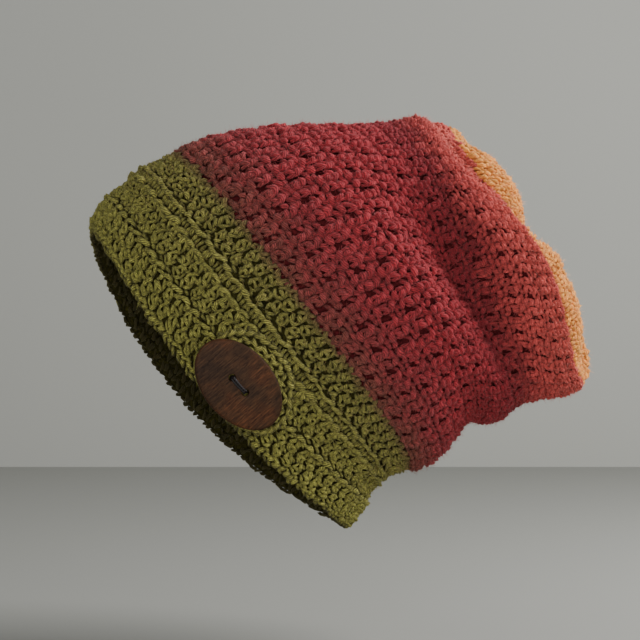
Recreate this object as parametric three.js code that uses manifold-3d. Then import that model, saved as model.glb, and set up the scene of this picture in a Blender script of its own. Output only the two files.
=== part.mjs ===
// A crocheted slouchy hat, worn well back on the head: a ribbed band, a slouching body, a gathered crown end,
// and an oval wooden button sewn on a crocheted tab. Millimetres, +Z up. The wearer faces -Y, and +X is the
// wearer's left side, where the button is. The origin is the middle of the opening for the head.
import * as THREE from 'three';
import Module from 'manifold-3d';
import { mergeVertices } from 'three/addons/utils/BufferGeometryUtils.js';

const wasm = await Module();
wasm.setup();

// Driving sizes
const WALL = 4.5;
const SEAM_GAP = 0.4;
const AROUND = 60;
const RIM_ROUNDING = 1.6;
const BAND_WIDTH = 70;

const BUTTON_LENGTH = 60;
const BUTTON_WIDTH = 40;
const BUTTON_THICKNESS = 4;
const BUTTON_DOME = 0.8;
const BUTTON_EDGE = 1.2;
const BUTTON_DOME_SHOULDER = 0.6;
const BUTTON_SEGMENTS = 40;
const HOLE_RADIUS = 2;
const HOLE_SPACING = 11.4;
const THREAD_RADIUS = 0.8;
const THREAD_SPREAD = 1.1;
const THREAD_DIP = 1.4;
const THREAD_FLAT_SHARE = 0.72;
const THREAD_STEPS = 10;
const POST_RADIUS = 1.5;
const CONTACT_GAP = 0.3;

const TAB_LENGTH = 60;
const TAB_WIDTH = 46;
const TAB_THICKNESS = 3.6;
const TAB_EDGE_THICKNESS = 2.4;
const TAB_RINGS = 5;
const TAB_SEGMENTS = 28;

// Where the button and the tab lie: turn round the hat in degrees, and the distance in from the rim.
const BUTTON_TURN = 91;
const BUTTON_FROM_RIM = 17.5;
const TAB_SHIFT_ALONG = 5;
const TAB_SHIFT_IN = 5.5;

// One row for each section of the hat, from the rim to the fold round the crown end. top and bottom are its
// ends on the middle plane, half its half width, drop how far its sides lean towards the crown (negative:
// towards the rim), and shoulder the same between its sides and its ends.
const SECTIONS = [
  { name: 'rim', topY: -76.5, topZ: 91, bottomY: 81, bottomZ: -91, half: 75, drop: -19, shoulder: 0 },
  { name: 'brow', topY: -71.5, topZ: 103, bottomY: 89, bottomZ: -79, half: 77, drop: -17, shoulder: 0 },
  { name: 'ridges', topY: -59, topZ: 115, bottomY: 94.5, bottomZ: -67, half: 80, drop: -14, shoulder: 0 },
  { name: 'band top', topY: -44, topZ: 127, bottomY: 104, bottomZ: -59, half: 83, drop: -10, shoulder: 0 },
  { name: 'seam', topY: -28, topZ: 136, bottomY: 117, bottomZ: -54.5, half: 85, drop: -6, shoulder: 0 },
  { name: 'head back', topY: -8, topZ: 145, bottomY: 131, bottomZ: -51, half: 89, drop: -4, shoulder: 0 },
  { name: 'nape fold', topY: 18, topZ: 151, bottomY: 142, bottomZ: -41, half: 92, drop: -2, shoulder: 0 },
  { name: 'belly', topY: 46, topZ: 154, bottomY: 151, bottomZ: -28, half: 94, drop: 0, shoulder: 0 },
  { name: 'first sag', topY: 72, topZ: 155, bottomY: 162, bottomZ: -24, half: 93, drop: 0, shoulder: 0 },
  { name: 'valley', topY: 95, topZ: 156, bottomY: 174, bottomZ: -25, half: 90, drop: -1, shoulder: -2 },
  { name: 'second sag', topY: 112, topZ: 158, bottomY: 189, bottomZ: -15, half: 86, drop: -2, shoulder: -4 },
  { name: 'rise', topY: 122, topZ: 161, bottomY: 206, bottomZ: -10.5, half: 84, drop: -2, shoulder: -6 },
  { name: 'fold', topY: 126.5, topZ: 161, bottomY: 222, bottomZ: -8.5, half: 81, drop: -2, shoulder: -8 },
  { name: 'fold lip', topY: 131, topZ: 157.5, bottomY: 231, bottomZ: -4, half: 78, drop: -1, shoulder: -9 },
];
const COLOUR_CHANGE = 4;
const FOLD_LIP = SECTIONS.length - 1;

// Raised ridges that run round the band, placed by their distance in from the rim.
const BAND_RIDGES = [
  { fromRim: 22.5, height: 2.0, spread: 2.4 },
  { fromRim: 43, height: 1.8, spread: 2.1 },
  { fromRim: 50.5, height: 2.4, spread: 1.8 },
];

// Soft dents in the body: the section and the turn where each is deepest, and how far it spreads.
const DENTS = [
  { section: 8.3, turn: 70, depth: 5, sections: 0.8, degrees: 16 },
  { section: 8.9, turn: 90, depth: 13, sections: 0.8, degrees: 17 },
  { section: 9.6, turn: 111, depth: 12, sections: 0.85, degrees: 15 },
  { section: 10.4, turn: 128, depth: 4, sections: 0.7, degrees: 12 },
  { section: 9.2, turn: 255, depth: 9, sections: 1.0, degrees: 26 },
];

// The crown end, from the fold inwards: the share of the way to the middle, and the rise beyond the fold.
const CROWN_ROWS = [
  { inset: 0, rise: 0 },
  { inset: 0.02, rise: 5 },
  { inset: 0.06, rise: 10 },
  { inset: 0.13, rise: 14.5 },
  { inset: 0.23, rise: 17 },
  { inset: 0.37, rise: 18 },
  { inset: 0.54, rise: 16.5 },
  { inset: 0.7, rise: 13 },
  { inset: 0.84, rise: 9.5 },
  { inset: 0.94, rise: 7.5 },
];
const CROWN_MIDDLE_RISE = 7;

// The creases that gather the crown end, by turn. A negative depth is a lobe that stands out between them.
const GATHERS = [
  { turn: 22, depth: 5, degrees: 9 },
  { turn: 46, depth: -5, degrees: 11 },
  { turn: 81, depth: 14, degrees: 9 },
  { turn: 105, depth: 4, degrees: 6 },
  { turn: 151, depth: 9, degrees: 8 },
  { turn: 186, depth: 6, degrees: 9 },
  { turn: 226, depth: 8, degrees: 9 },
  { turn: 268, depth: 7, degrees: 10 },
  { turn: 314, depth: 8, degrees: 9 },
];

const radians = THREE.MathUtils.degToRad;
const X_AXIS = new THREE.Vector3(1, 0, 0);

function catmullRom(before, start, end, after, share) {
  const squared = share * share;
  const cubed = squared * share;
  const slopeIn = (end - before) / 2;
  const slopeOut = (after - start) / 2;
  return (2 * cubed - 3 * squared + 1) * start + (cubed - 2 * squared + share) * slopeIn
    + (3 * squared - 2 * cubed) * end + (cubed - squared) * slopeOut;
}

// A smooth value of one column of a table, between its rows.
function column(table, name, position) {
  const last = table.length - 1;
  const row = Math.min(Math.max(Math.floor(position), 0), last - 1);
  const value = (index) => {
    if (index < 0) return 2 * table[0][name] - table[1][name];
    if (index > last) return 2 * table[last][name] - table[last - 1][name];
    return table[index][name];
  };
  return catmullRom(value(row - 1), value(row), value(row + 1), value(row + 2), position - row);
}

function bump(offset, spread) {
  return Math.exp(-(offset * offset) / (2 * spread * spread));
}

function turnApart(first, second) {
  return THREE.MathUtils.euclideanModulo(first - second + 180, 360) - 180;
}

// The section's middle, its half vector to the top, and the direction across it towards the crown.
function sectionFrame(section) {
  const at = (name) => column(SECTIONS, name, section);
  const top = new THREE.Vector3(0, at('topY'), at('topZ'));
  const bottom = new THREE.Vector3(0, at('bottomY'), at('bottomZ'));
  const middle = top.clone().add(bottom).multiplyScalar(0.5);
  const upward = top.clone().sub(middle);
  const forward = upward.clone().cross(X_AXIS).normalize();
  return { middle, upward, forward };
}

// The hat's plain surface at a section and a turn: 0 is the top, 90 the +X side, 180 the bottom.
function plainSurface(section, turn) {
  const { middle, upward, forward } = sectionFrame(section);
  const angle = radians(turn);
  const side = Math.sin(angle);
  const lean = column(SECTIONS, 'drop', section) * side * side
    + column(SECTIONS, 'shoulder', section) * Math.sin(2 * angle) ** 2;
  return middle
    .addScaledVector(upward, Math.cos(angle))
    .addScaledVector(X_AXIS, column(SECTIONS, 'half', section) * side)
    .addScaledVector(forward, lean);
}

const SMALL_SECTION = 0.02;
const SMALL_TURN = 0.5;

// Which way a surface runs at a point, from its rim towards its crown.
function alongHat(surface, section, turn) {
  return surface(section + SMALL_SECTION, turn).sub(surface(section - SMALL_SECTION, turn)).normalize();
}

function outwardNormal(surface, section, turn) {
  const aroundHat = surface(section, turn + SMALL_TURN).sub(surface(section, turn - SMALL_TURN));
  return aroundHat.cross(alongHat(surface, section, turn)).normalize();
}

function dentDepth(section, turn) {
  return DENTS.reduce((depth, dent) => depth + dent.depth
    * bump(section - dent.section, dent.sections)
    * bump(turnApart(turn, dent.turn), dent.degrees), 0);
}

function bodySurface(section, turn) {
  const inward = outwardNormal(plainSurface, section, turn).negate();
  return plainSurface(section, turn).addScaledVector(inward, dentDepth(section, turn));
}

// The section that lies a given distance in from the rim, at a turn. BAND_WIDTH is the width at the side; the
// band is a little narrower at the nape, and the distance shrinks with it.
const MEASURING_STEPS = 160;

function sectionFromRim(distance, turn) {
  const sections = steps(0, COLOUR_CHANGE, MEASURING_STEPS);
  const lengths = [0];
  for (let index = 1; index <= MEASURING_STEPS; index += 1) {
    const start = plainSurface(sections[index - 1], turn);
    lengths.push(lengths[index - 1] + plainSurface(sections[index], turn).distanceTo(start));
  }
  const target = (distance / BAND_WIDTH) * lengths[MEASURING_STEPS];
  const after = Math.max(lengths.findIndex((length) => length >= target), 1);
  const share = (target - lengths[after - 1]) / (lengths[after] - lengths[after - 1]);
  return THREE.MathUtils.lerp(sections[after - 1], sections[after], share);
}

function pushedOut(surface, section, turn, distance) {
  return surface(section, turn).addScaledVector(outwardNormal(surface, section, turn), distance);
}

// The outer and inner rings of a cut through the wall, each moved by shift along the hat.
function cutRings(section, shift) {
  return [0, -WALL].map((height) => ring((turn) => pushedOut(bodySurface, section, turn, height)
    .addScaledVector(alongHat(bodySurface, section, turn), shift)));
}

function ring(pointAt) {
  return Array.from({ length: AROUND }, (unused, index) => pointAt((360 * index) / AROUND));
}

function steps(from, to, count) {
  return Array.from({ length: count + 1 }, (unused, index) => from + ((to - from) * index) / count);
}

// A closed wall from a chain of rings that goes up the outside, back down the inside, and joins its start.
// With tips, the wall is closed at its far end by a point on each side instead.
function wallGeometry(rings, outerTip, innerTip) {
  const positions = rings.flat().flatMap((point) => point.toArray());
  const faces = [];
  const at = (row, index) => row * AROUND + (index % AROUND);
  const lastOuter = outerTip ? rings.indexOf(outerTip.after) : -1;
  rings.forEach((unused, row) => {
    if (row === lastOuter) return;
    const next = (row + 1) % rings.length;
    for (let index = 0; index < AROUND; index += 1) {
      faces.push(at(row, index), at(row, index + 1), at(next, index));
      faces.push(at(row, index + 1), at(next, index + 1), at(next, index));
    }
  });
  if (outerTip) {
    const outer = positions.length / 3;
    positions.push(...outerTip.point.toArray(), ...innerTip.point.toArray());
    for (let index = 0; index < AROUND; index += 1) {
      faces.push(at(lastOuter, index), at(lastOuter, index + 1), outer);
      faces.push(at(lastOuter + 1, index + 1), at(lastOuter + 1, index), outer + 1);
    }
  }
  const geometry = new THREE.BufferGeometry();
  geometry.setAttribute('position', new THREE.Float32BufferAttribute(positions, 3));
  geometry.setIndex(faces);
  geometry.computeVertexNormals();
  return geometry;
}

function named(name, geometry, color, roughness) {
  const mesh = new THREE.Mesh(geometry, new THREE.MeshStandardMaterial({ color, roughness, metalness: 0 }));
  mesh.name = name;
  return mesh;
}

// Band: ridged outside, smooth inside, with a rounded rim.
const BAND_OUTER_DISTANCES = [0, 6, 14, 18.5, 22.5, 26.5, 33, 39, 43, 46.5, 50.5, 54.5, 61];
const BAND_INNER_SECTIONS = [0, 1, 2, 3];

function ridgeHeight(distance) {
  return BAND_RIDGES.reduce((height, ridge) => height
    + ridge.height * bump(distance - ridge.fromRim, ridge.spread), 0);
}

function bandGeometry() {
  const rim = ring((turn) => {
    const middleOfWall = pushedOut(plainSurface, 0, turn, -WALL / 2);
    return middleOfWall.addScaledVector(alongHat(plainSurface, 0, turn), -RIM_ROUNDING);
  });
  const outer = BAND_OUTER_DISTANCES.map((distance) => ring((turn) => pushedOut(
    plainSurface,
    sectionFromRim(distance, turn),
    turn,
    ridgeHeight(distance),
  )));
  const inner = BAND_INNER_SECTIONS.map((section) => ring(
    (turn) => pushedOut(plainSurface, section, turn, -WALL),
  ));
  return wallGeometry([rim, ...outer, ...cutRings(COLOUR_CHANGE, -SEAM_GAP / 2), ...inner.reverse()]);
}

// Body: the slouching main form, with its dents.
const BODY_OUTER_ROWS = 27;
const BODY_INNER_ROWS = 16;

function bodyGeometry() {
  const [startOuter, startInner] = cutRings(COLOUR_CHANGE, SEAM_GAP / 2);
  const outer = steps(COLOUR_CHANGE, FOLD_LIP, BODY_OUTER_ROWS).slice(1).map((section) => ring(
    (turn) => bodySurface(section, turn),
  ));
  const inner = steps(COLOUR_CHANGE, FOLD_LIP, BODY_INNER_ROWS).slice(1).map((section) => ring(
    (turn) => pushedOut(bodySurface, section, turn, -WALL),
  ));
  return wallGeometry([startOuter, ...outer, ...inner.reverse(), startInner]);
}

// Crown: rises beyond the fold, drawn in by its gathers to a small dimple in the middle. A gather is already
// deep at the fold, is deepest a third of the way in, and fades out before the middle.
const GATHER_START = 0.16;
const GATHER_STRETCH = 1.1;
const GATHER_SOFTNESS = 0.6;

function gatherDepth(turn, inset) {
  const share = Math.min(1, GATHER_START + GATHER_STRETCH * inset);
  const strength = Math.sin(Math.PI * share) ** GATHER_SOFTNESS;
  return strength * GATHERS.reduce((depth, gather) => depth
    + gather.depth * bump(turnApart(turn, gather.turn), gather.degrees), 0);
}

function crownSurface(row, turn) {
  const { middle, forward } = sectionFrame(FOLD_LIP);
  const inset = column(CROWN_ROWS, 'inset', row);
  const rise = column(CROWN_ROWS, 'rise', row);
  const lip = bodySurface(FOLD_LIP, turn).addScaledVector(forward, SEAM_GAP);
  return lip.lerp(middle, inset).addScaledVector(forward, rise);
}

function gatheredSurface(row, turn) {
  const inward = outwardNormal(crownSurface, row, turn).negate();
  const grown = Math.min(1, row / 2);
  return crownSurface(row, turn).addScaledVector(
    inward,
    grown * gatherDepth(turn, column(CROWN_ROWS, 'inset', row)),
  );
}

const CROWN_OUTER_STEPS = [0, 1, 2, 3, 4, 5, 6, 7, 8, 9];
const CROWN_INNER_STEPS = [0, 2, 4, 5, 6, 8, 9];

function crownGeometry() {
  const { middle, forward } = sectionFrame(FOLD_LIP);
  const outer = CROWN_OUTER_STEPS.map((row) => ring((turn) => gatheredSurface(row, turn)));
  const inner = CROWN_INNER_STEPS.map((row) => ring((turn) => (row === 0
    ? pushedOut(bodySurface, FOLD_LIP, turn, -WALL).addScaledVector(forward, SEAM_GAP)
    : pushedOut(gatheredSurface, row, turn, -WALL))));
  const outerPoint = middle.clone().addScaledVector(forward, CROWN_MIDDLE_RISE);
  const innerPoint = outerPoint.clone().addScaledVector(forward, -WALL);
  return wallGeometry(
    [...outer, ...inner.reverse()],
    { point: outerPoint, after: outer[outer.length - 1] },
    { point: innerPoint },
  );
}

// The frame in which the button and the tab lie: along runs down the rim, inward towards the crown.
function buttonFrame() {
  const section = sectionFromRim(BUTTON_FROM_RIM, BUTTON_TURN);
  const place = plainSurface(section, BUTTON_TURN);
  const outward = outwardNormal(plainSurface, section, BUTTON_TURN);
  const along = plainSurface(section, BUTTON_TURN + 1).sub(plainSurface(section, BUTTON_TURN - 1));
  along.addScaledVector(outward, -along.dot(outward)).normalize();
  const inward = outward.clone().cross(along).normalize();
  return { place, outward, along, inward };
}

function turnPerMillimetre(section) {
  return 2 / plainSurface(section, BUTTON_TURN + 1).distanceTo(plainSurface(section, BUTTON_TURN - 1));
}

// Tab: an oval crocheted pad that follows the band and lies on its lowest ridge.
const TAB_REACH = BUTTON_FROM_RIM + TAB_SHIFT_IN + TAB_WIDTH / 2;
const RIDGES_UNDER_TAB = BAND_RIDGES.filter((ridge) => ridge.fromRim < TAB_REACH);
const TAB_CLEARANCE = Math.max(...RIDGES_UNDER_TAB.map((ridge) => ridge.height)) + CONTACT_GAP;

function tabPoint(share, direction, height) {
  const along = TAB_SHIFT_ALONG + (TAB_LENGTH / 2) * share * Math.cos(direction);
  const fromRim = BUTTON_FROM_RIM + TAB_SHIFT_IN + (TAB_WIDTH / 2) * share * Math.sin(direction);
  const middleSection = sectionFromRim(BUTTON_FROM_RIM, BUTTON_TURN);
  const turn = BUTTON_TURN + along * turnPerMillimetre(middleSection);
  return pushedOut(plainSurface, sectionFromRim(fromRim, turn), turn, height);
}

// A round pad is turned first, its radius the share of the way to the edge, and is then laid on the band.
function tabGeometry() {
  const shares = steps(0, 1, TAB_RINGS);
  const back = shares.map((share) => new THREE.Vector2(share, TAB_CLEARANCE));
  const front = shares.map((share) => new THREE.Vector2(
    share,
    TAB_CLEARANCE + THREE.MathUtils.lerp(TAB_THICKNESS, TAB_EDGE_THICKNESS, share ** 4),
  ));
  const pad = new THREE.LatheGeometry([...back, ...front.reverse()], TAB_SEGMENTS).rotateX(Math.PI / 2);
  const position = pad.attributes.position;
  for (let index = 0; index < position.count; index += 1) {
    const [x, y] = [position.getX(index), position.getY(index)];
    const laid = tabPoint(Math.hypot(x, y), Math.atan2(y, x), position.getZ(index));
    position.setXYZ(index, ...laid.toArray());
  }
  return toGeometry(toSolid(pad));
}

// Solids for joining and cutting
function toSolid(geometry) {
  const bare = geometry.clone();
  bare.deleteAttribute('normal');
  bare.deleteAttribute('uv');
  const merged = mergeVertices(bare, 1e-4);
  return new wasm.Manifold(new wasm.Mesh({
    numProp: 3,
    vertProperties: new Float32Array(merged.attributes.position.array),
    triVerts: new Uint32Array(merged.index.array),
  }));
}

function toGeometry(solid) {
  const mesh = solid.getMesh();
  const geometry = new THREE.BufferGeometry();
  geometry.setAttribute('position', new THREE.BufferAttribute(new Float32Array(mesh.vertProperties), 3));
  geometry.setIndex(Array.from(mesh.triVerts));
  geometry.computeVertexNormals();
  return geometry;
}

function post(radius, low, high, segments) {
  const corners = [[0, low], [radius, low], [radius, high], [0, high]];
  const profile = corners.map(([x, y]) => new THREE.Vector2(x, y));
  return new THREE.LatheGeometry(profile, segments).rotateX(Math.PI / 2);
}

// Button: a lathe-turned disc with a low dome and eased edges, stretched to an oval, with two holes. It lies
// with its back at height 0, x along its length and y across.
function buttonGeometry() {
  const radius = BUTTON_WIDTH / 2;
  const profile = [
    [0, 0],
    [radius - BUTTON_EDGE, 0],
    [radius, BUTTON_EDGE],
    [radius, BUTTON_THICKNESS - BUTTON_EDGE],
    [radius - BUTTON_EDGE, BUTTON_THICKNESS],
    [radius * BUTTON_DOME_SHOULDER, BUTTON_THICKNESS + BUTTON_DOME * BUTTON_DOME_SHOULDER],
    [0, BUTTON_THICKNESS + BUTTON_DOME],
  ].map(([x, y]) => new THREE.Vector2(x, y));
  const disc = new THREE.LatheGeometry(profile, BUTTON_SEGMENTS)
    .rotateX(Math.PI / 2)
    .scale(BUTTON_LENGTH / BUTTON_WIDTH, 1, 1);
  let solid = toSolid(disc);
  for (const side of [-1, 1]) {
    const drill = post(HOLE_RADIUS, -1, 2 * BUTTON_THICKNESS, 12).translate((side * HOLE_SPACING) / 2, 0, 0);
    solid = solid.subtract(toSolid(drill));
  }
  return toGeometry(solid);
}

// Thread: two strands side by side over the button, drawn down through the holes to the tab.
function threadGeometry() {
  const top = BUTTON_THICKNESS + BUTTON_DOME + CONTACT_GAP + THREAD_RADIUS;
  const reach = HOLE_SPACING / 2;
  const section = new THREE.Shape(Array.from({ length: 6 }, (unused, index) => new THREE.Vector2(
    THREAD_RADIUS * Math.cos((Math.PI * index) / 3),
    THREAD_RADIUS * Math.sin((Math.PI * index) / 3),
  )));
  const strands = [-1, 1].map((side) => {
    const offset = (side * THREAD_SPREAD) / 2;
    const path = new THREE.CatmullRomCurve3([
      new THREE.Vector3(-reach, offset, top - THREAD_DIP),
      new THREE.Vector3(-reach * THREAD_FLAT_SHARE, offset, top),
      new THREE.Vector3(reach * THREAD_FLAT_SHARE, offset, top),
      new THREE.Vector3(reach, offset, top - THREAD_DIP),
    ]);
    return new THREE.ExtrudeGeometry(section, {
      steps: THREAD_STEPS,
      extrudePath: path,
      bevelEnabled: false,
    });
  });
  const posts = [-1, 1].map((side) => post(POST_RADIUS, 0, top - THREAD_RADIUS, 10)
    .translate(side * reach, 0, 0));
  const [first, ...rest] = [...posts, ...strands].map(toSolid);
  return toGeometry(rest.reduce((joined, solid) => joined.add(solid), first));
}

const hat = new THREE.Group();
hat.add(named('band', bandGeometry(), '#7a7a3a', 0.95));
hat.add(named('body', bodyGeometry(), '#8a3236', 0.95));
hat.add(named('crown', crownGeometry(), '#c07a45', 0.95));
hat.add(named('button_tab', tabGeometry(), '#75763a', 0.95));

const { place, outward, along, inward } = buttonFrame();
const buttonGroup = new THREE.Group();
buttonGroup.quaternion.setFromRotationMatrix(new THREE.Matrix4().makeBasis(along, inward, outward));
buttonGroup.position.copy(place).addScaledVector(outward, TAB_CLEARANCE + TAB_THICKNESS + CONTACT_GAP);
buttonGroup.add(named('button', buttonGeometry(), '#533c2d', 0.45));
buttonGroup.add(named('button_thread', threadGeometry(), '#1f1a18', 0.8));
hat.add(buttonGroup);

export default hat;
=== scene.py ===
import math

import bpy
import numpy as np
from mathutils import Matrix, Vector
from mathutils.geometry import delaunay_2d_cdt


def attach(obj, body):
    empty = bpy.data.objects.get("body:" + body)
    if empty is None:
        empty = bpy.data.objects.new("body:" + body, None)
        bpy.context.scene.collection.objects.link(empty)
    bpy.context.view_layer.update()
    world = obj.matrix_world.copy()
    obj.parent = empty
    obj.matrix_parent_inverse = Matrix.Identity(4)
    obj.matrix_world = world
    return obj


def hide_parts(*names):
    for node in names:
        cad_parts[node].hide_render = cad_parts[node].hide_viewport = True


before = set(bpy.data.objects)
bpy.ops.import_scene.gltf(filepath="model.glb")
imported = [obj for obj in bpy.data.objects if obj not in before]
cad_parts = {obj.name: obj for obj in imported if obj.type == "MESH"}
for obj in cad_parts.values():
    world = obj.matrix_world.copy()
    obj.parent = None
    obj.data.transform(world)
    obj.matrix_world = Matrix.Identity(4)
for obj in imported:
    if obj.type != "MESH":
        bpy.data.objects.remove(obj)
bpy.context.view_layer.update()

# Camera
# The view is level, from the wearer's left side and 12.7 degrees towards the front, 1.1 m from the hat.
CAMERA_DISTANCE = 1.1
CAMERA_YAW = 12.7
LOOKS_AT = Vector((0.0, 0.0645, 0.037))
towards_camera = Vector((math.cos(math.radians(CAMERA_YAW)), -math.sin(math.radians(CAMERA_YAW)), 0.0))

camera_data = bpy.data.cameras.new("photo_camera")
camera_data.sensor_width = 36.0
camera_data.lens = 99.8
camera_data.dof.use_dof = False
camera = bpy.data.objects.new("photo_camera", camera_data)
camera.location = LOOKS_AT + towards_camera * CAMERA_DISTANCE
camera.rotation_euler = towards_camera.to_track_quat("Z", "Y").to_euler()
bpy.context.scene.collection.objects.link(camera)
bpy.context.scene.camera = camera


# Floor and backdrop
# A plain pale table top below the hat and a plain pale wall behind it, both painted matt.
FLOOR_HEIGHT = -0.17
FLOOR_HALF_LENGTH = 2.2
FLOOR_HALF_DEPTH = 1.4
WALL_DISTANCE = 1.4
WALL_HALF_LENGTH = 2.4
WALL_HEIGHT = 2.2


def linear_colour(hex_code):
    """The linear colour of an sRGB hex code."""
    shares = [int(hex_code[place:place + 2], 16) / 255 for place in (1, 3, 5)]
    linear = [share / 12.92 if share <= 0.04045 else ((share + 0.055) / 1.055) ** 2.4 for share in shares]
    return (*linear, 1.0)


def add_node(tree, kind, inputs=None, **settings):
    """Adds a node with its settings. An input takes a value, a socket, or a node for its first output."""
    added = tree.nodes.new(kind)
    for name, value in settings.items():
        setattr(added, name, value)
    sockets = [socket for socket in added.inputs if socket.enabled]
    for name, value in (inputs or {}).items():
        socket = next(each for place, each in enumerate(sockets) if name in (place, each.name))
        if isinstance(value, bpy.types.Node):
            value = next(each for each in value.outputs if each.enabled)
        if isinstance(value, bpy.types.NodeSocket):
            tree.links.new(value, socket)
        else:
            socket.default_value = value
    return added


def new_material(name):
    """An empty node material and its tree."""
    material = bpy.data.materials.new(name)
    material.use_nodes = True
    material.node_tree.nodes.clear()
    return material, material.node_tree


def surfaced(material, inputs):
    """Ends a material with a Principled BSDF that has these inputs."""
    surface = add_node(material.node_tree, "ShaderNodeBsdfPrincipled", inputs)
    add_node(material.node_tree, "ShaderNodeOutputMaterial", {"Surface": surface})
    return material


def mesh_object(name, points, faces, material=None):
    """An object at the origin, from points in metres and faces."""
    mesh = bpy.data.meshes.new(name)
    mesh.from_pydata([tuple(point) for point in points], [], [tuple(face) for face in faces])
    mesh.update()
    mesh.shade_smooth()
    if material:
        mesh.materials.append(material)
    made = bpy.data.objects.new(name, mesh)
    bpy.context.scene.collection.objects.link(made)
    return made


def matt_paint(name, hex_code):
    """Flat emulsion paint, with hardly any shine."""
    return surfaced(new_material(name)[0], {"Base Color": linear_colour(hex_code), "Roughness": 0.9})


wall_paint = matt_paint("matt_wall_paint", "#b0b0a9")
table_paint = matt_paint("matt_table_paint", "#90908a")

floor = mesh_object("floor", [(x * FLOOR_HALF_LENGTH, y * FLOOR_HALF_DEPTH, FLOOR_HEIGHT)
                              for x, y in ((-1, -1), (1, -1), (1, 1), (-1, 1))], [(0, 1, 2, 3)], table_paint)
sideways = Vector((-towards_camera.y, towards_camera.x, 0.0))
wall_middle = LOOKS_AT - towards_camera * WALL_DISTANCE
wall_corners = ((-1, FLOOR_HEIGHT), (1, FLOOR_HEIGHT), (1, WALL_HEIGHT), (-1, WALL_HEIGHT))
backdrop = mesh_object("backdrop", [(*(wall_middle + sideways * side * WALL_HALF_LENGTH).xy, height)
                                    for side, height in wall_corners], [(0, 1, 2, 3)], wall_paint)


# Lights
# A window light from above and the right of the view, light thrown back by the table below and by the room in
# front, and a pale room all round.
LIGHTS = {
    "window": {"place": (0.2, 1.25, 0.78), "size": 0.7, "watts": 36.0},
    "table_glow": {"place": (0.8, -0.1, -0.1), "size": 0.13, "watts": 1.6},
    "room_glow": {"place": (1.2, -0.4, 0.3), "size": 0.6, "watts": 5.0},
}
for name, facts in LIGHTS.items():
    light_data = bpy.data.lights.new(name, "AREA")
    light_data.size = facts["size"]
    light_data.energy = facts["watts"]
    light = bpy.data.objects.new(name, light_data)
    light.location = facts["place"]
    light.rotation_euler = (light.location - LOOKS_AT).to_track_quat("Z", "Y").to_euler()
    bpy.context.scene.collection.objects.link(light)
world = bpy.data.worlds.new("room_light")
world.use_nodes = True
room = world.node_tree.nodes["Background"].inputs
room["Color"].default_value = linear_colour("#eef0f2")
room["Strength"].default_value = 0.5
bpy.context.scene.world = world


# Form of the hat
# The surface that the crocheter's rows follow: sections from the rim to the fold, then the gathered end. It
# guides the stitches and is taken away at the end. Lengths are in millimetres, turns in degrees.
MM = 0.001
WALL = 4.5
SECTION_COLUMNS = ("top_y", "top_z", "bottom_y", "bottom_z", "half", "drop", "shoulder")
SECTIONS = {
    "rim": (-76.5, 91, 81, -91, 75, -19, 0),
    "brow": (-71.5, 103, 89, -79, 77, -17, 0),
    "ridges": (-59, 115, 94.5, -67, 80, -14, 0),
    "band top": (-44, 127, 104, -59, 83, -10, 0),
    "seam": (-28, 136, 117, -54.5, 85, -6, 0),
    "head back": (-8, 145, 131, -51, 89, -4, 0),
    "nape fold": (18, 151, 142, -41, 92, -2, 0),
    "belly": (46, 154, 151, -28, 94, 0, 0),
    "first sag": (72, 155, 162, -24, 93, 0, 0),
    "valley": (95, 156, 174, -25, 90, -1, -2),
    "second sag": (112, 158, 189, -15, 86, -2, -4),
    "rise": (122, 161, 206, -10.5, 84, -2, -6),
    "fold": (126.5, 161, 222, -8.5, 81, -2, -8),
    "fold lip": (131, 157.5, 231, -4, 78, -1, -9),
}
SEAM = 4
FOLD_LIP = 13
BAND_WIDTH = 70
# Ridges of the band: distance in from the rim, height and spread.
RIDGES = ((22.5, 2.0, 2.4), (43, 1.8, 2.1), (50.5, 2.4, 1.8))
# Soft dents: section, turn and depth, then how far they spread in sections and in degrees.
DENTS = (
    (8.3, 70, 7, 0.8, 16),
    (8.9, 90, 17.5, 0.8, 17),
    (9.6, 111, 16, 0.85, 15),
    (10.4, 128, 5, 0.7, 12),
    (9.2, 255, 9, 1.0, 26),
)
# The crown's rows: how far in towards its middle, and how high. The last two are drawn in where it closes.
CROWN_INSET = (0, 0.02, 0.06, 0.13, 0.23, 0.37, 0.54, 0.7, 0.84, 0.94, 0.985, 0.992)
CROWN_RISE = (0, 5, 10, 14.5, 17, 18, 16.5, 13, 9.5, 7.5, 6.5, -5.5)
# Creases that gather the crown end: turn, depth and spread. A negative depth is a lobe between them.
GATHERS = (
    (22, 5, 9), (46, -5, 11), (81, 14, 9), (105, 4, 6), (151, 9, 8), (186, 6, 9), (226, 8, 9), (268, 7, 10),
    (314, 8, 9),
)


def between_rows(rows, position):
    """A smooth value between the rows of one column, at each position."""
    rows = np.asarray(rows, float)
    last = len(rows) - 1
    longer = np.concatenate([[2 * rows[0] - rows[1]], rows, [2 * rows[last] - rows[last - 1]]])
    row = np.clip(np.floor(position).astype(int), 0, last - 1)
    share = position - row
    before, start, end, after = (longer[row + step] for step in range(4))
    slope_in = (end - before) / 2
    slope_out = (after - start) / 2
    cubic = share ** 3
    square = share ** 2
    return ((2 * cubic - 3 * square + 1) * start + (cubic - 2 * square + share) * slope_in
            + (3 * square - 2 * cubic) * end + (cubic - square) * slope_out)


def section_column(name, section):
    place = SECTION_COLUMNS.index(name)
    return between_rows([row[place] for row in SECTIONS.values()], section)


def unit(vectors):
    return vectors / np.linalg.norm(vectors, axis=-1, keepdims=True)


def section_frame(section):
    """The section's middle, its half vector to the top, and the direction towards the crown."""
    top, bottom = (np.stack([np.zeros_like(section), section_column(end + "_y", section),
                             section_column(end + "_z", section)], axis=-1) for end in ("top", "bottom"))
    middle = (top + bottom) / 2
    upward = top - middle
    forward = unit(np.cross(upward, (1.0, 0.0, 0.0)))
    return middle, upward, forward


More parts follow.
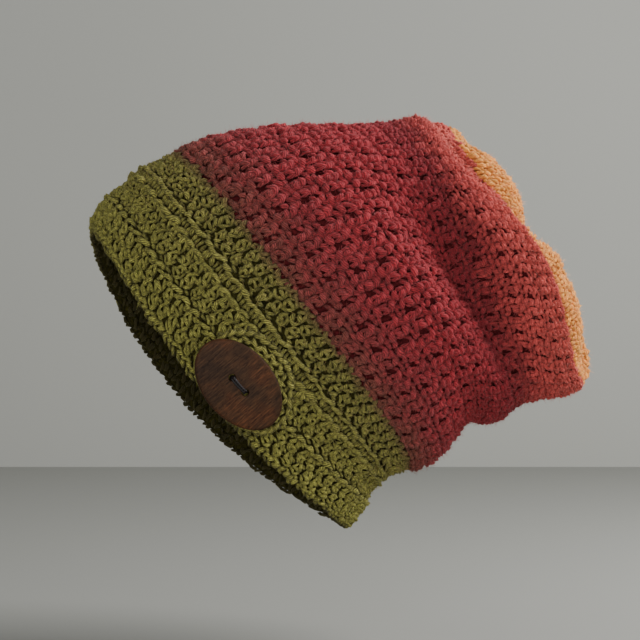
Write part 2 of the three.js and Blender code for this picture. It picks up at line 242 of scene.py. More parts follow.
def on_grid(row, turn):
    return np.broadcast_arrays(np.asarray(row, float), np.asarray(turn, float))


def plain_surface(section, turn):
    section, turn = on_grid(section, turn)
    middle, upward, forward = section_frame(section)
    angle = np.radians(turn)
    side = np.sin(angle)
    lean = (section_column("drop", section) * side ** 2
            + section_column("shoulder", section) * np.sin(2 * angle) ** 2)
    across = (section_column("half", section) * side)[..., None] * np.array((1.0, 0.0, 0.0))
    return middle + upward * np.cos(angle)[..., None] + across + forward * lean[..., None]


# A direction is measured over these steps.
SMALL_TURN = 0.5
SMALL_ROW = 0.02


def outward(surface, row, turn):
    """The outward direction of a surface at each place."""
    round_hat = surface(row, turn + SMALL_TURN) - surface(row, turn - SMALL_TURN)
    along_hat = surface(row + SMALL_ROW, turn) - surface(row - SMALL_ROW, turn)
    return unit(np.cross(round_hat, along_hat))


def bump(offset, spread):
    return np.exp(-(offset ** 2) / (2 * spread ** 2))


def turn_apart(first, second):
    return (first - second + 180) % 360 - 180


def body_surface(section, turn):
    section, turn = on_grid(section, turn)
    depth = sum(deep * bump(section - at, sections) * bump(turn_apart(turn, where), degrees)
                for at, where, deep, sections, degrees in DENTS)
    return plain_surface(section, turn) - outward(plain_surface, section, turn) * depth[..., None]


def crown_surface(row, turn):
    row, turn = on_grid(row, turn)
    middle, _, forward = section_frame(np.full_like(row, FOLD_LIP))
    inset = between_rows(CROWN_INSET, row)[..., None]
    lip = body_surface(FOLD_LIP, turn)
    return lip * (1 - inset) + middle * inset + forward * between_rows(CROWN_RISE, row)[..., None]


# The creases grow and fade inwards like half a wave. At the fold they are this share along it, they go on at
# this pace, and the power evens their strength.
GATHER_START = 0.16
GATHER_PACE = 1.1
GATHER_POWER = 0.6


def gathered_surface(row, turn):
    row, turn = on_grid(row, turn)
    share = np.clip(GATHER_START + GATHER_PACE * between_rows(CROWN_INSET, row), 0, 1)
    strength = np.sin(np.pi * share) ** GATHER_POWER * np.clip(row / 2, 0, 1)
    depth = strength * sum(deep * bump(turn_apart(turn, where), degrees) for where, deep, degrees in GATHERS)
    return crown_surface(row, turn) - outward(crown_surface, row, turn) * depth[..., None]


def lengths_along(points):
    """The length along a path of points, up to each of them."""
    steps = np.linalg.norm(np.diff(points, axis=0), axis=-1)
    return np.concatenate([np.zeros_like(steps[:1]), np.cumsum(steps, axis=0)])


# Lengths in from the rim are measured from a little below it.
BELOW_RIM = -0.6


def sections_from_rim(distances, turns):
    """The section at each distance in from the rim, for each turn. The band is narrower at the nape."""
    fine = np.linspace(BELOW_RIM, SEAM, 185)
    lengths = lengths_along(plain_surface(fine[:, None], turns[None, :]))
    found = np.empty((len(distances), len(turns)))
    for place in range(len(turns)):
        rim = np.interp(0, fine, lengths[:, place])
        full = lengths[-1, place] - rim
        targets = rim + np.asarray(distances) / BAND_WIDTH * full
        found[:, place] = np.interp(targets, lengths[:, place], fine)
    return found


# The chart is the form rolled out flat: x runs round the hat and y from the rim to the middle of the crown.
# It goes on past its ends and the rim, so that a stitch that wanders still finds the form.
CHART_ROUND = 600
CHART_SPARE = 60
CHART_STEP = 2
RIM_SPARE = 7
BODY_LENGTH = 150
CROWN_LENGTH = 109.8
CROWN_RADIUS = 90
BAND_RINGS = 56
BODY_RINGS = 75
CROWN_RINGS = 85
chart_x = np.arange(-CHART_SPARE, CHART_ROUND + CHART_SPARE + 1, CHART_STEP)


def even_turns(surface, row):
    """The turn at each chart column, so that columns lie evenly spaced along the row."""
    turns = np.linspace(-45, 405, 451)
    lengths = lengths_along(surface(row, turns))
    start, end = np.interp([0, 360], turns, lengths)
    return np.interp(start + chart_x / CHART_ROUND * (end - start), lengths, turns)


rings = []
normals = []
chart_y = []


def add_ring(surface, row, turns, y, height=0.0):
    """Adds one row of the chart, at its height above the surface."""
    direction = outward(surface, row, turns)
    rings.append(surface(row, turns) + direction * height)
    normals.append(direction)
    chart_y.append(y)


band_turns = even_turns(plain_surface, 2.0)
seam_turns = even_turns(plain_surface, float(SEAM))
lip_turns = even_turns(plain_surface, float(FOLD_LIP))
band_distances = np.linspace(-RIM_SPARE, BAND_WIDTH, BAND_RINGS)
for distance, section in zip(band_distances, sections_from_rim(band_distances, band_turns)):
    nearer_seam = max(0.0, distance / BAND_WIDTH) ** 2
    turns = band_turns * (1 - nearer_seam) + seam_turns * nearer_seam
    height = sum(high * bump(distance - from_rim, spread) for from_rim, high, spread in RIDGES)
    add_ring(plain_surface, section, turns, distance, height)
for section in np.linspace(SEAM, FOLD_LIP, BODY_RINGS + 1)[1:]:
    add_ring(body_surface, section, even_turns(plain_surface, section),
             BAND_WIDTH + BODY_LENGTH * (section - SEAM) / (FOLD_LIP - SEAM))
crown_steps = np.hypot(np.diff(CROWN_INSET) * CROWN_RADIUS, np.diff(CROWN_RISE))
crown_lengths = np.concatenate([[0], np.cumsum(crown_steps)])
crown_lengths *= CROWN_LENGTH / crown_lengths[-1]
for row in np.linspace(0, len(CROWN_INSET) - 1, CROWN_RINGS + 1)[1:]:
    add_ring(gathered_surface, row, lip_turns, BAND_WIDTH + BODY_LENGTH + between_rows(crown_lengths, row))
rings = np.array(rings)
normals = np.array(normals)
chart_y = np.array(chart_y)


def add_attribute(thing, name, kind, values):
    """Gives each point of a mesh object a value."""
    added = thing.data.attributes.new(name, kind, "POINT")
    added.data.foreach_set("vector" if kind == "FLOAT_VECTOR" else "value", np.ravel(values))


def chart_form(name, points, directions, chart):
    """A guide: a grid of points in space, with its outward directions and its flat chart as a UV map."""
    at = np.arange(points.shape[0] * points.shape[1]).reshape(points.shape[:2])
    faces = np.stack([at[:-1, :-1], at[:-1, 1:], at[1:, 1:], at[1:, :-1]], axis=-1).reshape(-1, 4)
    form = mesh_object(name, points.reshape(-1, 3) * MM, faces)
    corner_points = np.empty(len(form.data.loops), dtype=np.int32)
    form.data.loops.foreach_get("vertex_index", corner_points)
    uv = form.data.uv_layers.new(name="chart")
    uv.data.foreach_set("uv", (chart.reshape(-1, 2)[corner_points] * MM).ravel())
    add_attribute(form, "facing", "FLOAT_VECTOR", directions)
    return form


chart = np.stack(np.broadcast_arrays(chart_x[None, :], chart_y[:, None]), axis=-1)
hat_form = chart_form("hat_form", rings, normals, chart)

first_column = CHART_SPARE // CHART_STEP
round_columns = slice(first_column, first_column + CHART_ROUND // CHART_STEP, 2)
closed_rings = rings[:, round_columns]
closed_normals = normals[:, round_columns]


def faces_between(lower, upper):
    """Quads between two loops of the same length, given by the numbers of their points."""
    sides = range(len(lower))
    return [(lower[side - 1], lower[side], upper[side], upper[side - 1]) for side in (*sides[1:], 0)]


def shell_object(name, loops, material, tips=()):
    """A closed shell from a chain of closed rings, outside first. With tips, both ends close on a point."""
    count = len(loops[0])
    points = np.concatenate(loops)
    numbers = np.arange(len(points)).reshape(-1, count).tolist()
    faces = []
    for ring, following in zip(range(len(loops)), numbers[1:] + numbers[:1]):
        if not tips or ring != tips[0][0]:
            faces += faces_between(numbers[ring], following)
    for ring, tip, outside in tips:
        points = np.concatenate([points, tip[None, :]])
        for start, end in zip(numbers[ring], numbers[ring][1:] + numbers[ring][:1]):
            faces.append((start, end, len(points) - 1) if outside else (end, start, len(points) - 1))
    return mesh_object(name, points * MM, faces, material)


def wall_object(name, low, high, material, sink, tips=()):
    """A piece of the wall: up its outside, sunk below the form, and back down its inside."""
    rows = [row for row in range(len(chart_y)) if low <= chart_y[row] <= high]
    outer, inner = (sorted({*rows[::step], rows[-1]}) for step in (2, 4))
    loops = [closed_rings[row] - closed_normals[row] * sink for row in outer]
    loops += [closed_rings[row] - closed_normals[row] * WALL for row in reversed(inner)]
    return shell_object(name, loops, material,
                        tips=list(zip((len(outer) - 1, len(outer)), tips, (True, False))))


# Yarn
# A soft wool-blend yarn about 2.4 mm thick, spun from several plies and crocheted by hand. Its plies give
# every strand slanting grooves, and loose fibres give it a matt bloom and a fuzzy outline.
PLIES = 8
TWIST_PITCH = 16.0
# Each strand has its own stretch of the yarn map.
STRAND_RUN = 100
# How unevenly a hand works each column of a strand: x, y, angle, length, width, top and bow.
UNEVEN = (0.45, 0.45, 10.0, 0.6, 0.25, 0.3, 0.5)
YARN_SIDES = 5
# The rings of a strand, as shares of its length.
FINE_STEPS = (0.0, 0.14, 0.38, 0.62, 0.86, 1.0)
SHORT_STEPS = (0.0, 0.2, 0.5, 0.8, 1.0)


def tube_rings(path, across, reach):
    """Rings of points round a path. reach has a row for each point of the path and a column for each side."""
    tangents = unit(np.gradient(path, axis=0))
    lateral = unit(np.cross(across, tangents))
    upright = np.cross(tangents, lateral)
    around = 2 * math.pi * np.arange(reach.shape[1])[:, None] / reach.shape[1]
    spokes = np.cos(around) * lateral[:, None] + np.sin(around) * upright[:, None]
    return path[:, None] + reach[..., None] * spokes


def strand_mesh(strands, ring_steps, dip):
    """Points, faces and yarn UVs of short arched strands. Each strand has the columns x, y, angle, length,
    width, top and bow: its middle, its direction, its size, its height there and how far it curves."""
    shares = np.array(ring_steps)
    arch = 1 - (2 * shares - 1) ** 2
    end = len(shares) - 1
    # The corners of each face, by ring and side. The first and the last ring are a single point.
    corners = [[(low + ring, first + side) for ring, side in ((0, 0), (0, 1), (1, 1), (1, 0))
                if 0 < low + ring < end or side == 0] for first in range(YARN_SIDES) for low in range(end)]
    points = []
    faces = []
    uvs = []
    for number, (x, y, angle, length, width, top, bow) in enumerate(strands):
        along = np.array([math.cos(math.radians(angle)), math.sin(math.radians(angle))])
        flat = (np.array([x, y]) + np.outer((shares - 0.5) * length, along)
                + np.outer((arch - 0.5) * bow, (-along[1], along[0])))
        path = np.column_stack([flat, top - dip * (1 - arch)])
        radii = width / 2 * (0.5 + 0.5 * arch ** 0.5)
        rings = tube_rings(path, (0.0, 0.0, 1.0), np.tile(radii[:, None], YARN_SIDES))
        run = STRAND_RUN * number + shares * length
        for face in corners:
            faces.append([len(points) + max(0, 1 + (ring - 1) * YARN_SIDES)
                          + (side % YARN_SIDES if 0 < ring < end else 0) for ring, side in face])
            uvs += [(run[ring], side / YARN_SIDES) for ring, side in face]
        points += [path[0], *rings[1:-1].reshape(-1, 3), path[-1]]
    return np.array(points), faces, np.array(uvs)


stitch_guides = []


def hand_worked(name, strands, seed, uneven=1.0, ring_steps=SHORT_STEPS, dip=1.9):
    """Three hand-worked versions of one stitch, flat, in the chart's axes, each a little uneven."""
    chance = np.random.default_rng(seed)
    spread = uneven * np.array(UNEVEN)
    for version in range(1, 4):
        moved = np.array(strands) + chance.uniform(-1, 1, (len(strands), len(UNEVEN))) * spread
        points, faces, uvs = strand_mesh(moved, ring_steps, dip)
        stitch = mesh_object(name + "_" + str(version), points * MM, faces)
        uv = stitch.data.uv_layers.new(name="yarn")
        uv.data.foreach_set("uv", uvs.ravel())
        stitch_guides.append(stitch)
    return stitch_guides[-3:]


def new_tree(name, inputs):
    """A Geometry Nodes tree and its inputs, which have these names and kinds."""
    tree = bpy.data.node_groups.new(name, "GeometryNodeTree")
    tree.interface.new_socket("Geometry", in_out="OUTPUT", socket_type="NodeSocketGeometry")
    for kind, labels in inputs.items():
        for label in labels:
            tree.interface.new_socket(label, in_out="INPUT", socket_type="NodeSocket" + kind)
    return tree, add_node(tree, "NodeGroupInput").outputs


def end_tree(tree, geometry, material):
    """Ends a tree with its material and its output."""
    coloured = add_node(tree, "GeometryNodeSetMaterial", {"Geometry": geometry, "Material": material})
    add_node(tree, "NodeGroupOutput", {0: coloured})


def maths(tree, operation, *values, kind="ShaderNodeMath"):
    return add_node(tree, kind, dict(enumerate(values)), operation=operation)


def vector_maths(tree, operation, *values):
    return maths(tree, operation, *values, kind="ShaderNodeVectorMath")


def random_value(tree, kind, low, high, seed):
    return add_node(tree, "FunctionNodeRandomValue", {"Min": low, "Max": high, "Seed": seed}, data_type=kind)


def read_value(tree, name, kind="FLOAT_VECTOR"):
    return add_node(tree, "GeometryNodeInputNamedAttribute", {"Name": name}, data_type=kind)


def store_value(tree, geometry, name, value, domain="POINT"):
    stored = {"Geometry": geometry, "Name": name, "Value": value}
    return add_node(tree, "GeometryNodeStoreNamedAttribute", stored, data_type="FLOAT", domain=domain)


# The tree lays one of three stitches at each place of the chart, then bends them all on to the form. On the
# way each point wanders a little, in broad waves and in fine frays.
STITCH_LABELS = ("First Stitch", "Second Stitch", "Third Stitch")
FRAY_SCALE = 520.0
stitch_tree, given = new_tree("rows_of_stitches", {
    "Geometry": ("Geometry",), "Object": (*STITCH_LABELS, "Form"),
    "Float": ("Facing Turn", "Uneven Size", "Uneven Turn", "Wander", "Wander Scale", "Fray"),
    "Int": ("Seed",), "Material": ("Yarn",)})
tree = stitch_tree
versions = add_node(tree, "GeometryNodeJoinGeometry")
for label in STITCH_LABELS:
    version = add_node(tree, "GeometryNodeObjectInfo", {"Object": given[label], "As Instance": True})
    tree.links.new(version.outputs["Geometry"], versions.inputs[0])
form = add_node(tree, "GeometryNodeObjectInfo", {"Object": given["Form"]}).outputs["Geometry"]
size = random_value(tree, "FLOAT", maths(tree, "SUBTRACT", 1.0, given["Uneven Size"]),
                    maths(tree, "ADD", 1.0, given["Uneven Size"]), given["Seed"])
tilt = random_value(tree, "FLOAT", maths(tree, "MULTIPLY", given["Uneven Turn"], -1.0), given["Uneven Turn"],
                    given["Seed"])
whole_turn = maths(tree, "ADD", tilt, read_value(tree, "turn", "FLOAT"))
placed = add_node(tree, "GeometryNodeInstanceOnPoints", {
    "Points": given["Geometry"], "Instance": versions, "Pick Instance": True,
    "Instance Index": random_value(tree, "INT", 0, len(STITCH_LABELS) - 1, given["Seed"]),
    "Rotation": add_node(tree, "ShaderNodeCombineXYZ", {"Y": given["Facing Turn"], "Z": whole_turn}),
    "Scale": vector_maths(tree, "SCALE", read_value(tree, "stretch"), size)})
toned = store_value(tree, placed, "tone", random_value(tree, "FLOAT", 0.0, 1.0, given["Seed"]), "INSTANCE")
realized = add_node(tree, "GeometryNodeRealizeInstances", {"Geometry": toned})
here = add_node(tree, "GeometryNodeInputPosition")
here_parts = add_node(tree, "ShaderNodeSeparateXYZ", {0: here}).outputs
with_height = store_value(tree, realized, "height", here_parts["Z"])
with_row = store_value(tree, with_height, "row", here_parts["Y"])
flat_place = here
for reach, scale in ((given["Wander"], given["Wander Scale"]), (given["Fray"], FRAY_SCALE)):
    waves = add_node(tree, "ShaderNodeTexNoise", {0: here, 1: given["Seed"], "Scale": scale, "Detail": 1.0},
                     noise_dimensions="4D")
    centred = vector_maths(tree, "SUBTRACT", waves.outputs["Color"], (0.5, 0.5, 0.5))
    flat_place = vector_maths(tree, "ADD", flat_place, vector_maths(tree, "SCALE", centred, reach))
ground, direction = (
    add_node(tree, "GeometryNodeSampleUVSurface", {
        "Mesh": form, "Value": value, "UV Map": read_value(tree, "chart"), "Sample UV": flat_place},
        data_type="FLOAT_VECTOR")
    for value in (here, read_value(tree, "facing")))
flat_height = add_node(tree, "ShaderNodeSeparateXYZ", {0: flat_place}).outputs["Z"]
target = vector_maths(tree, "ADD", ground, vector_maths(tree, "SCALE", direction, flat_height))
bent = add_node(tree, "GeometryNodeSetPosition", {"Geometry": with_row, "Position": target})
end_tree(tree, bent, given["Yarn"])


def grown(start, tree, values):
    """Runs a Geometry Nodes tree on an object and leaves it as a plain mesh."""
    modifier = start.modifiers.new("grown", "NODES")
    modifier.node_group = tree
    for item in tree.interface.items_tree:
        if item.in_out == "INPUT" and item.name in values:
            modifier[item.identifier] = values[item.name]
    evaluated = start.evaluated_get(bpy.context.evaluated_depsgraph_get())
    mesh = bpy.data.meshes.new_from_object(evaluated)
    start.modifiers.remove(modifier)
    bare = start.data
    start.data = mesh
    mesh.name = start.name
    mesh.shade_smooth()
    bpy.data.meshes.remove(bare)
    return start


def crochet(name, stitches, places, yarn, form=hat_form, facing_turn=0.0, size=0.06, turn=5.0, wander=5.0,
            wander_scale=120.0, fray=2.0, seed=1):
    """Lays a stitch at each place and returns the plain mesh object. Each place has the columns x, y, z,
    stretch_x, stretch_y and turn, in millimetres, shares and degrees."""
    places = np.array(places, float)
    laid = mesh_object(name, places[:, :3] * MM, [])
    add_attribute(laid, "stretch", "FLOAT_VECTOR", np.column_stack([places[:, 3:5], np.ones(len(places))]))
    add_attribute(laid, "turn", "FLOAT", np.radians(places[:, 5]))
    return grown(laid, stitch_tree, {
        **dict(zip(STITCH_LABELS, stitches)), "Form": form, "Facing Turn": facing_turn, "Uneven Size": size,
        "Uneven Turn": math.radians(turn), "Wander": wander * MM, "Wander Scale": wander_scale,
        "Fray": fray * MM, "Seed": seed, "Yarn": yarn})


def row_of_places(count, y, stitch_width, start=0.5, lean=0.0, z=0.0, tall=1.0):
    """Places for a row of stitches round the hat, stretched to fit. It starts this many stitches and this
    lean, in millimetres, round from the top."""
    width = CHART_ROUND / count
    return [(((place + start) * width + lean) % CHART_ROUND, y, z, width / stitch_width, tall, 0.0)
            for place in range(count)]


# Loose fibres stand off the yarn at all angles and soften its outline. They grow where a strand is highest.
FIBRE_LENGTH = 3.4
FIBRE_WIDTH = 0.18
FIBRES_FROM_HEIGHT = 0.8
FIBRE_LEAN = 1.2
FIBRE_TURN = 6.28
FIBRE_SIZES = (0.5, 1.4)
fuzz_tree, given = new_tree("loose_fibres", {"Geometry": ("Geometry",), "Object": ("Fibre",),
                                             "Float": ("Density",), "Int": ("Seed",), "Material": ("Yarn",)})
tree = fuzz_tree
fibre = add_node(tree, "GeometryNodeObjectInfo", {"Object": given["Fibre"], "As Instance": True})
on_top = add_node(tree, "FunctionNodeCompare",
                  {"A": read_value(tree, "height", "FLOAT"), "B": FIBRES_FROM_HEIGHT * MM},
                  operation="GREATER_THAN", data_type="FLOAT")
scattered = add_node(tree, "GeometryNodeDistributePointsOnFaces", {
    "Mesh": given["Geometry"], "Selection": on_top, "Density": given["Density"], "Seed": given["Seed"]})
lean = random_value(tree, "FLOAT_VECTOR", (-FIBRE_LEAN, -FIBRE_LEAN, 0.0),
                    (FIBRE_LEAN, FIBRE_LEAN, FIBRE_TURN), given["Seed"])
standing = add_node(tree, "FunctionNodeRotateRotation", {
    0: scattered.outputs["Rotation"], 1: add_node(tree, "FunctionNodeEulerToRotation", {0: lean})},
    rotation_space="LOCAL")
fibres = add_node(tree, "GeometryNodeInstanceOnPoints", {
    "Points": scattered, "Instance": fibre.outputs["Geometry"], "Rotation": standing,
    "Scale": random_value(tree, "FLOAT", *FIBRE_SIZES, given["Seed"])})
end_tree(tree, add_node(tree, "GeometryNodeRealizeInstances", {"Geometry": fibres}), given["Yarn"])

corners = np.radians((0, 120, 240))
foot = FIBRE_WIDTH / 2 * np.column_stack([np.cos(corners), np.sin(corners), np.zeros(3)])
loose_fibre = mesh_object("loose_fibre", np.vstack([foot, (0.0, 0.0, FIBRE_LENGTH)]) * MM,
                          [(2, 1, 0), (0, 1, 3), (1, 2, 3), (2, 0, 3)])


def fuzz(name, stitches, yarn, density, seed):
    """Loose fibres on the upper side of a mesh of stitches. The density is a number for each square metre."""
    fuzzy = bpy.data.objects.new(name, stitches.data.copy())
    bpy.context.scene.collection.objects.link(fuzzy)
    return grown(fuzzy, fuzz_tree, {"Fibre": loose_fibre, "Density": density, "Seed": seed, "Yarn": yarn})


def ramp_node(tree, factor, stops):
    """A colour ramp from places and hex colours."""
    ramp = add_node(tree, "ShaderNodeValToRGB", {"Fac": factor})
    elements = ramp.color_ramp.elements
    while len(elements) < len(stops):
        elements.new(0.5)
    for element, (place, hex_code) in zip(elements, stops):
        element.position = place
        element.color = linear_colour(hex_code)
    return ramp


def noise_node(tree, place, scale, detail, roughness=0.5, distortion=0.0):
    return add_node(tree, "ShaderNodeTexNoise", {"Vector": place, "Scale": scale, "Detail": detail,
                                                 "Roughness": roughness, "Distortion": distortion})


def range_node(tree, value, low, high, to_low=0.0, to_high=1.0):
    return add_node(tree, "ShaderNodeMapRange", dict(enumerate((value, low, high, to_low, to_high))))


def attribute_value(tree, name):
    return add_node(tree, "ShaderNodeAttribute", attribute_name=name).outputs["Fac"]


def bump_node(tree, height, distance, strength=1.0):
    return add_node(tree, "ShaderNodeBump", {"Height": height, "Strength": strength, "Distance": distance})


# Each strand's own colour follows from the tone of its stitch, and moves it by this share of the blend.
TONE_STEP = 91.0
OWN_SHARE = 0.3


def yarn_material(name, from_row, to_row, stops, sheen, blend=22.0):
    """Twisted wool yarn. Its stops have the columns place, strand and groove. The colours run along the hat
    by the row attribute, in millimetres of the chart, and blend over a length. Deep places and the grooves
    between the plies show the groove's colour, which is painted shade: a darker colour put where shade falls."""
    material, tree = new_material(name)
    yarn_map = add_node(tree, "ShaderNodeUVMap", uv_map="yarn")
    yarn = add_node(tree, "ShaderNodeSeparateXYZ", {0: yarn_map}).outputs
    along = maths(tree, "MULTIPLY", yarn["X"], 2 * math.pi * PLIES / TWIST_PITCH)
    wave = maths(tree, "SINE", maths(tree, "MULTIPLY_ADD", yarn["Y"], 2 * math.pi * PLIES, along))
    ply = range_node(tree, wave, -1.0, 0.4, to_low=0.1)
    place = add_node(tree, "ShaderNodeTexCoord").outputs["Object"]
    tangle = noise_node(tree, place, scale=750.0, detail=3.0, roughness=0.7, distortion=0.8)
    patches = noise_node(tree, place, scale=60.0, detail=3.0)
    strand = maths(tree, "FLOOR", maths(tree, "DIVIDE", yarn["X"], STRAND_RUN))
    strand_seed = maths(tree, "MULTIPLY_ADD", attribute_value(tree, "tone"), TONE_STEP, strand)
    own = add_node(tree, "ShaderNodeTexWhiteNoise", {"W": strand_seed}, noise_dimensions="1D")
    patch_shift = maths(tree, "MULTIPLY_ADD", patches, blend * MM, attribute_value(tree, "row"))
    own_shift = maths(tree, "MULTIPLY_ADD", own, blend * OWN_SHARE * MM, patch_shift)
    mean_shift = blend * (0.5 + OWN_SHARE / 2)
    along_hat = range_node(tree, own_shift, (from_row + mean_shift) * MM, (to_row + mean_shift) * MM)
    fibre_light = range_node(tree, tangle, 0.36, 0.6, to_low=0.3)
    # Painted shade: low places and the grooves between the plies are mixed towards the darker groove colour.
    height = range_node(tree, attribute_value(tree, "height"), -0.001, 0.0016)
    unshaded_share = maths(tree, "MULTIPLY", maths(tree, "MULTIPLY", ply, fibre_light), height)
    strand_colour, painted_groove_shade = (ramp_node(tree, along_hat, [(stop[0], stop[column]) for stop in stops])
                                    for column in (1, 2))
    base = add_node(tree, "ShaderNodeMix", {"Factor": unshaded_share, "A": painted_groove_shade, "B": strand_colour},
                    data_type="RGBA")
    varied = add_node(tree, "ShaderNodeHueSaturation",
                      {"Value": range_node(tree, own, 0.0, 1.0, to_low=0.78, to_high=1.16), "Color": base})
    relief = maths(tree, "MULTIPLY_ADD", tangle, 1.2, ply)
    return surfaced(material, {
        "Base Color": varied, "Roughness": 0.92, "Specular IOR Level": 0.25, "Sheen Weight": 0.2,
        "Sheen Roughness": 0.5, "Sheen Tint": linear_colour(sheen), "Subsurface Weight": 0.1,
        "Subsurface Radius": (1.0, 0.6, 0.5), "Subsurface Scale": 0.0016,
        "Normal": bump_node(tree, relief, 0.0003)})


def felted_material(name, dark, light):
    """Painted shade: the matted back of the stitches, seen deep in the gaps between the strands and inside
    the hat, coloured much darker than the yarn for the shade that falls there.
    """
    material, tree = new_material(name)
    place = add_node(tree, "ShaderNodeTexCoord").outputs["Object"]
    tangle = noise_node(tree, place, scale=420.0, detail=4.0, roughness=0.65, distortion=1.2)
    return surfaced(material, {"Base Color": ramp_node(tree, tangle, [(0.35, dark), (0.68, light)]),
                               "Roughness": 0.97, "Specular IOR Level": 0.1,
                               "Normal": bump_node(tree, tangle, 0.0012)})


def fibre_material(name, from_row, to_row, stops):
    """Loose fibres, painted paler than the yarn that they come from: a painted highlight for the light
    that thin fibres catch.
    """
    material, tree = new_material(name)
    along_hat = range_node(tree, attribute_value(tree, "row"), from_row * MM, to_row * MM)
    return surfaced(material, {"Base Color": ramp_node(tree, along_hat, stops), "Roughness": 0.7,
                               "Specular IOR Level": 0.3})


def declare(pieces):
    """The pieces ride on the hat's only body."""
    for piece in pieces:
        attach(piece, "root")


# Band
# The ribbed green band that grips the head: rows of stitches along and across, three raised ropes and a
# chained rim. It is one fabric about 4.5 mm thick, worked in the round.
BAND_STITCHES = 74
BAND_STITCH_WIDTH = 8.4
# Each row: its distance from the rim, its kind of stitch and its shift along the row.
BAND_ROWS = {
    "rim chain": (1.6, "chain", 0.0),
    "first clusters": (7.6, "cluster", 2.1),
    "second clusters": (15.6, "cluster", 0.4),
    "low rope": (22.5, "rope", 1.0),
    "third clusters": (29.2, "cluster", 3.2),
    "fourth clusters": (36.8, "cluster", 1.0),
    "middle rope": (43.0, "rope", 4.0),
    "short across": (46.9, "short", 0.0),
    "high rope": (50.5, "cable", 0.0),
    "fifth clusters": (57.4, "cluster", 2.0),
    "sixth clusters": (65.4, "cluster", 5.0),
    "seam row": (70.6, "seam", 1.0),
}
# Strands of each kind of row: x, y, angle, length, width, top and bow.
BAND_STRANDS = {
    "chain": ((-2.1, 0.0, 22, 5.8, 2.6, 0.6, 0.5), (2.1, 0.0, 22, 5.8, 2.6, 0.6, 0.5),
              (-2.2, -1.9, -22, 5.4, 2.3, -0.3, -0.4), (2.0, -1.9, -22, 5.4, 2.3, -0.3, -0.4)),
    "cluster": ((-2.2, 2.3, 66, 5.6, 2.3, 1.4, 0.6), (0.5, 2.5, 116, 5.4, 2.3, 1.3, -0.6),
                (-2.4, -1.9, -50, 5.2, 2.3, 1.3, 0.6), (0.9, -1.9, 46, 5.2, 2.3, 1.2, -0.6),
                (-0.7, 0.2, -14, 5.6, 2.4, 2.1, 0.7), (3.2, 3.7, 6, 5.0, 2.2, 0.7, 0.5),
                (3.0, -3.7, -18, 5.0, 2.2, 0.6, -0.5), (2.4, 0.9, 84, 4.0, 2.1, 0.3, 0.3)),
    "short": ((-3.0, 0.0, 100, 4.8, 2.4, 0.6, 0.3), (-0.2, 0.0, 76, 4.8, 2.5, 0.8, -0.3),
              (2.6, 0.0, 112, 4.6, 2.3, 0.6, 0.3)),
    "rope": ((0.0, 0.0, 17, 8.6, 3.3, 1.3, 0.8), (4.0, -0.9, 8, 6.0, 2.5, 0.3, -0.4)),
    "cable": ((-2.1, 0.0, 15, 7.2, 2.9, 0.9, 0.4), (2.1, 0.0, 9, 7.2, 2.9, 1.0, -0.3)),
    "seam": ((-2.4, 0.0, 54, 5.0, 2.5, 0.9, 0.5), (0.2, 0.6, 112, 5.2, 2.5, 1.0, -0.5),
             (2.6, -0.3, -24, 5.0, 2.5, 0.8, 0.5)),
}
# Its inside: rows of plain stitches, every other row shifted.
INSIDE_ROWS = 12
INSIDE_FROM_RIM = 3.0
INSIDE_ROW_HEIGHT = 5.8
INSIDE_SHIFT = 2.1
INSIDE_STRANDS = ((-2.1, 0.0, 68, 6.4, 2.6, 0.5, 0.4), (2.1, 0.0, 112, 6.4, 2.6, 0.5, -0.4))


def shifted(strands, across, along):
    """The strands of one kind, moved by across and along."""
    return [(strand[0] + across, strand[1] + along, *strand[2:]) for strand in strands]


# Olive-green wool: dull strands with painted shade in their dark slanting ply grooves and low places, turning
# # brown at the last row by the seam.
band_yarn = yarn_material("band_green_wool_yarn", 0, 72, (
    (0.0, "#b8b458", "#332c12"), (0.5, "#aea954", "#2e2711"), (0.93, "#a8a052", "#2f2712"),
    (1.0, "#92784c", "#342414")), sheen="#c8c788", blend=8.0)
# Painted shade: a dark olive for the shaded wool between and behind the stitches.
band_recess_shade = felted_material("band_felted_recess", "#151306", "#3e3a17")
# Paler olive hairs that blur the edges of the strands.
band_hair = fibre_material("band_loose_fibres", 0, 72, [(0.0, "#b5b25e"), (1.0, "#a98a5c")])

band_wall = wall_object("band_wall", 0.0, BAND_WIDTH, band_recess_shade, sink=1.0)
band_strands = []
for from_rim, kind, shift in BAND_ROWS.values():
    band_strands += shifted(BAND_STRANDS[kind], shift, from_rim)
band_versions = hand_worked("band_stitch", band_strands, seed=21, uneven=1.2, dip=2.4)
band_places = row_of_places(BAND_STITCHES, 0.0, BAND_STITCH_WIDTH)
band_stitches = crochet("band_stitches", band_versions, band_places, band_yarn, size=0.0, turn=0.0, seed=3)
inside_strands = []
for row in range(INSIDE_ROWS):
    inside_strands += shifted(INSIDE_STRANDS, INSIDE_SHIFT * (row % 2),
                              INSIDE_FROM_RIM + INSIDE_ROW_HEIGHT * row)
inside_versions = hand_worked("inside_stitch", inside_strands, seed=22, dip=1.4)
inside_places = row_of_places(BAND_STITCHES, 0.0, BAND_STITCH_WIDTH, z=-WALL)
band_inside = crochet("band_inside", inside_versions, inside_places, band_yarn, facing_turn=math.pi, size=0.0,
                      turn=0.0, wander=6.5, wander_scale=150.0, fray=3.0, seed=5)
band_fuzz = fuzz("band_fuzz", band_stitches, band_hair, density=80000.0, seed=31)

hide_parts("band")
declare((band_wall, band_stitches, band_inside, band_fuzz))

# Body
# The slouching red part: chunky rows of rosette stitches with an open lattice of holes between them. It hangs
# in soft folds from the band and is worked on from the band's last row.
BODY_STITCHES = 40
BODY_STITCH_WIDTH = 15.8
BODY_ROW_HEIGHT = 11.6
BODY_LEAN = 1.6
BODY_FROM_SEAM = 1.5
